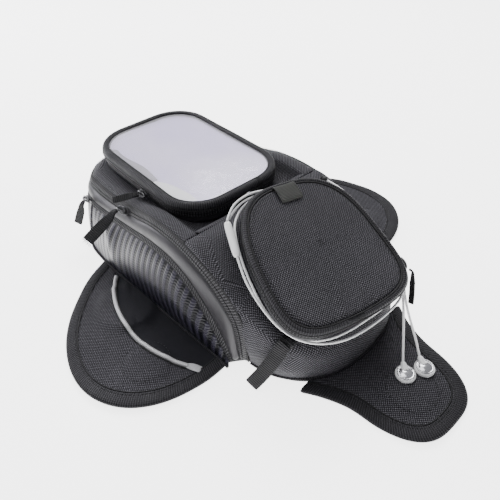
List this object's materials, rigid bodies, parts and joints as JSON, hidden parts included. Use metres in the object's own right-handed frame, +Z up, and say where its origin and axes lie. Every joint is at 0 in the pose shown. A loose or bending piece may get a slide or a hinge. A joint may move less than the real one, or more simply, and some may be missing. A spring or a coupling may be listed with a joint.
{
  "type": "motorcycle tank bag",
  "caption": "Soft magnetic tank bag with a hinged zipped lid, clear phone pouch, tilted round pouch, side pockets, magnet flaps and wrapped earphones.",
  "frame": {"origin": "middle of the base panel's underside, on the surface that the bag lies on", "axes": "+X towards the nose and the round pouch, +Y towards the far side, +Z up"},
  "size_m": [0.4244, 0.394, 0.1164],
  "materials": {
    "mesh_fabric": "woven Oxford cloth with a fine dot weave",
    "plain_fabric": "smooth dark cloth",
    "binding": "ribbed webbing binding",
    "grey_pvc": "smooth grey coated band",
    "carbon_pvc": "glossy carbon-look coated cloth",
    "zip_tape": "reverse coil zipper tape",
    "webbing": "woven webbing",
    "reflective": "silver reflective tape",
    "window": "clear soft plastic",
    "liner": "milky sheet",
    "foam": "closed foam",
    "board": "stiffening board",
    "magnet": "ferrite",
    "slider_metal": "black enamel",
    "ring_metal": "satin",
    "white_cord": "smooth white sheath",
    "white_plastic": "moulded white",
    "port_rubber": "soft rubber"
  },
  "bodies": {
    "bag": {"base_panel": "mesh_fabric", "base_board": "board", "side_wall_left": "plain_fabric", "side_wall_right": "plain_fabric", "nose_wall": "mesh_fabric", "tall_end_panel": "carbon_pvc", "tall_end_band": "grey_pvc", "main_zip_tape": "zip_tape", "slope_hood": "mesh_fabric", "round_gusset": "grey_pvc", "round_pad": "mesh_fabric", "round_zip_tape": "zip_tape", "pocket_band_left": "grey_pvc", "pocket_band_right": "grey_pvc", "pocket_zip_tapes": "zip_tape", "flap_roots": "plain_fabric", "strap_anchor": "webbing", "audio_port": "port_rubber", "cable_main": "white_cord", "cable_splitter": "white_plastic", "lead_left": "white_cord", "lead_right": "white_cord", "earbud_left": "white_plastic", "earbud_right": "white_plastic"},
    "main_lid": {"lid_panel": "mesh_fabric", "phone_tray": "grey_pvc", "phone_zip_tape": "zip_tape", "phone_pad": "foam", "ring_loop": "webbing"},
    "phone_lid": {"phone_lid_frame": "binding", "phone_window": "window", "phone_window_liner": "liner"},
    "round_lid": {"round_lid_piping": "binding", "round_lid_face": "mesh_fabric", "round_pull_tab": "webbing"},
    "pocket_left": {"pocket_panel_left": "carbon_pvc"},
    "pocket_right": {"pocket_panel_right": "carbon_pvc"},
    "flap_left": {"flap_left_binding": "binding", "flap_left_panel": "mesh_fabric", "flap_left_magnets": "magnet", "flap_left_strip": "reflective"},
    "flap_right": {"flap_right_binding": "binding", "flap_right_panel": "mesh_fabric", "flap_right_magnets": "magnet", "flap_right_strip": "reflective"},
    "flap_nose": {"flap_nose_binding": "binding", "flap_nose_panel": "mesh_fabric", "flap_nose_magnets": "magnet"},
    "main_slider": {"main_slider": "slider_metal"},
    "main_tail": {"main_tail": "webbing"},
    "phone_slider": {"phone_slider": "slider_metal"},
    "phone_tail": {"phone_tail": "webbing"},
    "pocket_slider_left": {"pocket_slider_left": "slider_metal"},
    "pocket_slider_right": {"pocket_slider_right": "slider_metal"},
    "pocket_tail_left": {"pocket_tail_left": "webbing"},
    "pocket_tail_right": {"pocket_tail_right": "webbing"},
    "round_slider": {"round_slider": "slider_metal"},
    "round_tail": {"round_tail": "webbing"},
    "strap_tail": {"strap_tail": "webbing"},
    "pouch_ring": {"pouch_ring": "ring_metal"}
  },
  "joints": [
    {"name": "main_lid_hinge", "type": "hinge", "parent": "bag", "child": "main_lid", "pos_m": [0.027, 0, 0.0888], "axis": [0, 1, 0], "range_deg": [0, 65]},
    {"name": "phone_lid_hinge", "type": "hinge", "parent": "main_lid", "child": "phone_lid", "pos_m": [-0.0797, 0.0619, 0.091], "axis": [-1, 0, 0], "range_deg": [0, 110]},
    {"name": "round_lid_hinge", "type": "hinge", "parent": "bag", "child": "round_lid", "pos_m": [0.16158, -0.01378, 0.06385], "axis": [0.2106, 0.9765, -0.0451], "range_deg": [0, 105]},
    {"name": "pocket_left_hinge", "type": "hinge", "parent": "bag", "child": "pocket_left", "pos_m": [-0.097, -0.1075, 0.0036], "axis": [0.9975, 0.0712, 0], "range_deg": [0, 50]},
    {"name": "pocket_right_hinge", "type": "hinge", "parent": "bag", "child": "pocket_right", "pos_m": [-0.097, 0.1075, 0.0036], "axis": [-0.9975, 0.0712, 0], "range_deg": [0, 50]},
    {"name": "flap_left_hinge", "type": "hinge", "parent": "bag", "child": "flap_left", "pos_m": [0, -0.112, 0.0015], "axis": [1, 0, 0], "range_deg": [-85, 70]},
    {"name": "flap_right_hinge", "type": "hinge", "parent": "bag", "child": "flap_right", "pos_m": [0, 0.112, 0.0015], "axis": [-1, 0, 0], "range_deg": [-85, 70]},
    {"name": "flap_nose_hinge", "type": "hinge", "parent": "bag", "child": "flap_nose", "pos_m": [0.167, 0, 0.0015], "axis": [0, 1, 0], "range_deg": [0, 70]},
    {"name": "main_slider_slide", "type": "slide", "parent": "bag", "child": "main_slider", "axis": [-1, 0, 0], "range_m": [0, 0.07]},
    {"name": "main_tail_swing", "type": "hinge", "parent": "main_slider", "child": "main_tail", "pos_m": [-0.066, -0.0906, 0.075], "axis": [-1, 0, 0], "range_deg": [0, 80]},
    {"name": "phone_slider_slide", "type": "slide", "parent": "main_lid", "child": "phone_slider", "axis": [-1, 0, 0], "range_m": [-0.012, 0.06]},
    {"name": "phone_tail_swing", "type": "hinge", "parent": "phone_slider", "child": "phone_tail", "pos_m": [-0.061, -0.0695, 0.087], "axis": [-1, 0, 0], "range_deg": [0, 70]},
    {"name": "pocket_left_slide", "type": "slide", "parent": "bag", "child": "pocket_slider_left", "axis": [-1, 0, 0], "range_m": [-0.035, 0]},
    {"name": "pocket_right_slide", "type": "slide", "parent": "bag", "child": "pocket_slider_right", "axis": [-1, 0, 0], "range_m": [-0.035, 0]},
    {"name": "pocket_left_tail_swing", "type": "hinge", "parent": "pocket_slider_left", "child": "pocket_tail_left", "pos_m": [-0.1375, -0.0983, 0.0572], "axis": [-1, 0, 0], "range_deg": [0, 80]},
    {"name": "pocket_right_tail_swing", "type": "hinge", "parent": "pocket_slider_right", "child": "pocket_tail_right", "pos_m": [-0.1375, 0.0983, 0.0572], "axis": [1, 0, 0], "range_deg": [0, 80]},
    {"name": "round_slider_slide", "type": "slide", "parent": "bag", "child": "round_slider", "axis": [0.8484, -0.4112, -0.3334], "range_m": [-0.006, 0.012]},
    {"name": "round_tail_swing", "type": "hinge", "parent": "round_slider", "child": "round_tail", "pos_m": [0.15871, 0.05273, 0.06479], "axis": [0.3518, -0.0327, 0.9355], "range_deg": [0, 60]},
    {"name": "strap_swing", "type": "hinge", "parent": "bag", "child": "strap_tail", "pos_m": [0.1335, -0.0672, 0.049], "axis": [-1, 0, 0], "range_deg": [0, 45]},
    {"name": "ring_swing", "type": "hinge", "parent": "main_lid", "child": "pouch_ring", "pos_m": [0.015, 0.0015, 0.0832], "axis": [0, 1, 0], "range_deg": [0, 35]}
  ]
}
